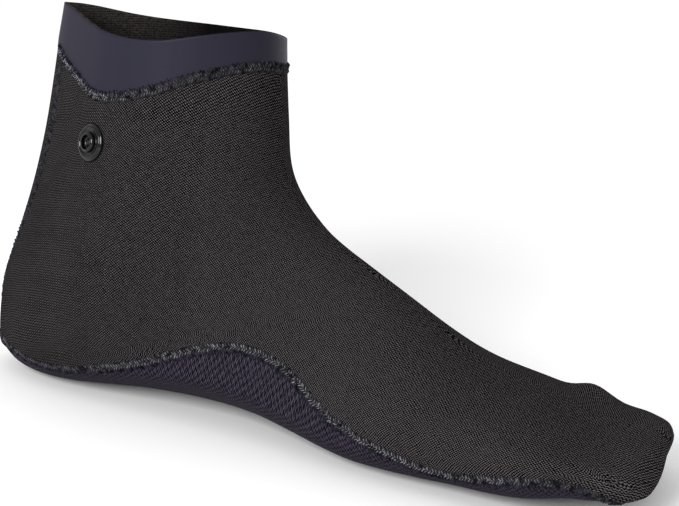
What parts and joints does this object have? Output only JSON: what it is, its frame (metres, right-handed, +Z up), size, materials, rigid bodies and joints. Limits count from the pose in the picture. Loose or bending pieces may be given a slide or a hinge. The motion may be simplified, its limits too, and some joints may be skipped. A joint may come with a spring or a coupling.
{
  "type": "neoprene sock",
  "caption": "Low-cut neoprene watersport sock for the left foot: stretched knit upper, mesh-faced sole panel that wraps up at the arch, smooth ankle collar, raised flat seams and an ankle snap.",
  "frame": {"origin": "on the floor, under the middle of the heel", "axes": "+X towards the toes, -Y towards the inner (big toe) side, +Z up"},
  "size_m": [0.2678, 0.0967, 0.1456],
  "materials": {
    "knit_neoprene": "matte charcoal jersey knit",
    "mesh_neoprene": "matte purple-navy mesh",
    "smooth_skin": "satin dark navy",
    "flatlock_thread": "matte grey-blue thread",
    "black_snap": "gloss black"
  },
  "bodies": {
    "root": {"upper": "knit_neoprene", "sole": "mesh_neoprene", "collar": "smooth_skin", "collar_seam": "flatlock_thread", "back_seam": "flatlock_thread", "sole_seam": "flatlock_thread", "snap_socket": "black_snap"}
  },
  "joints": []
}
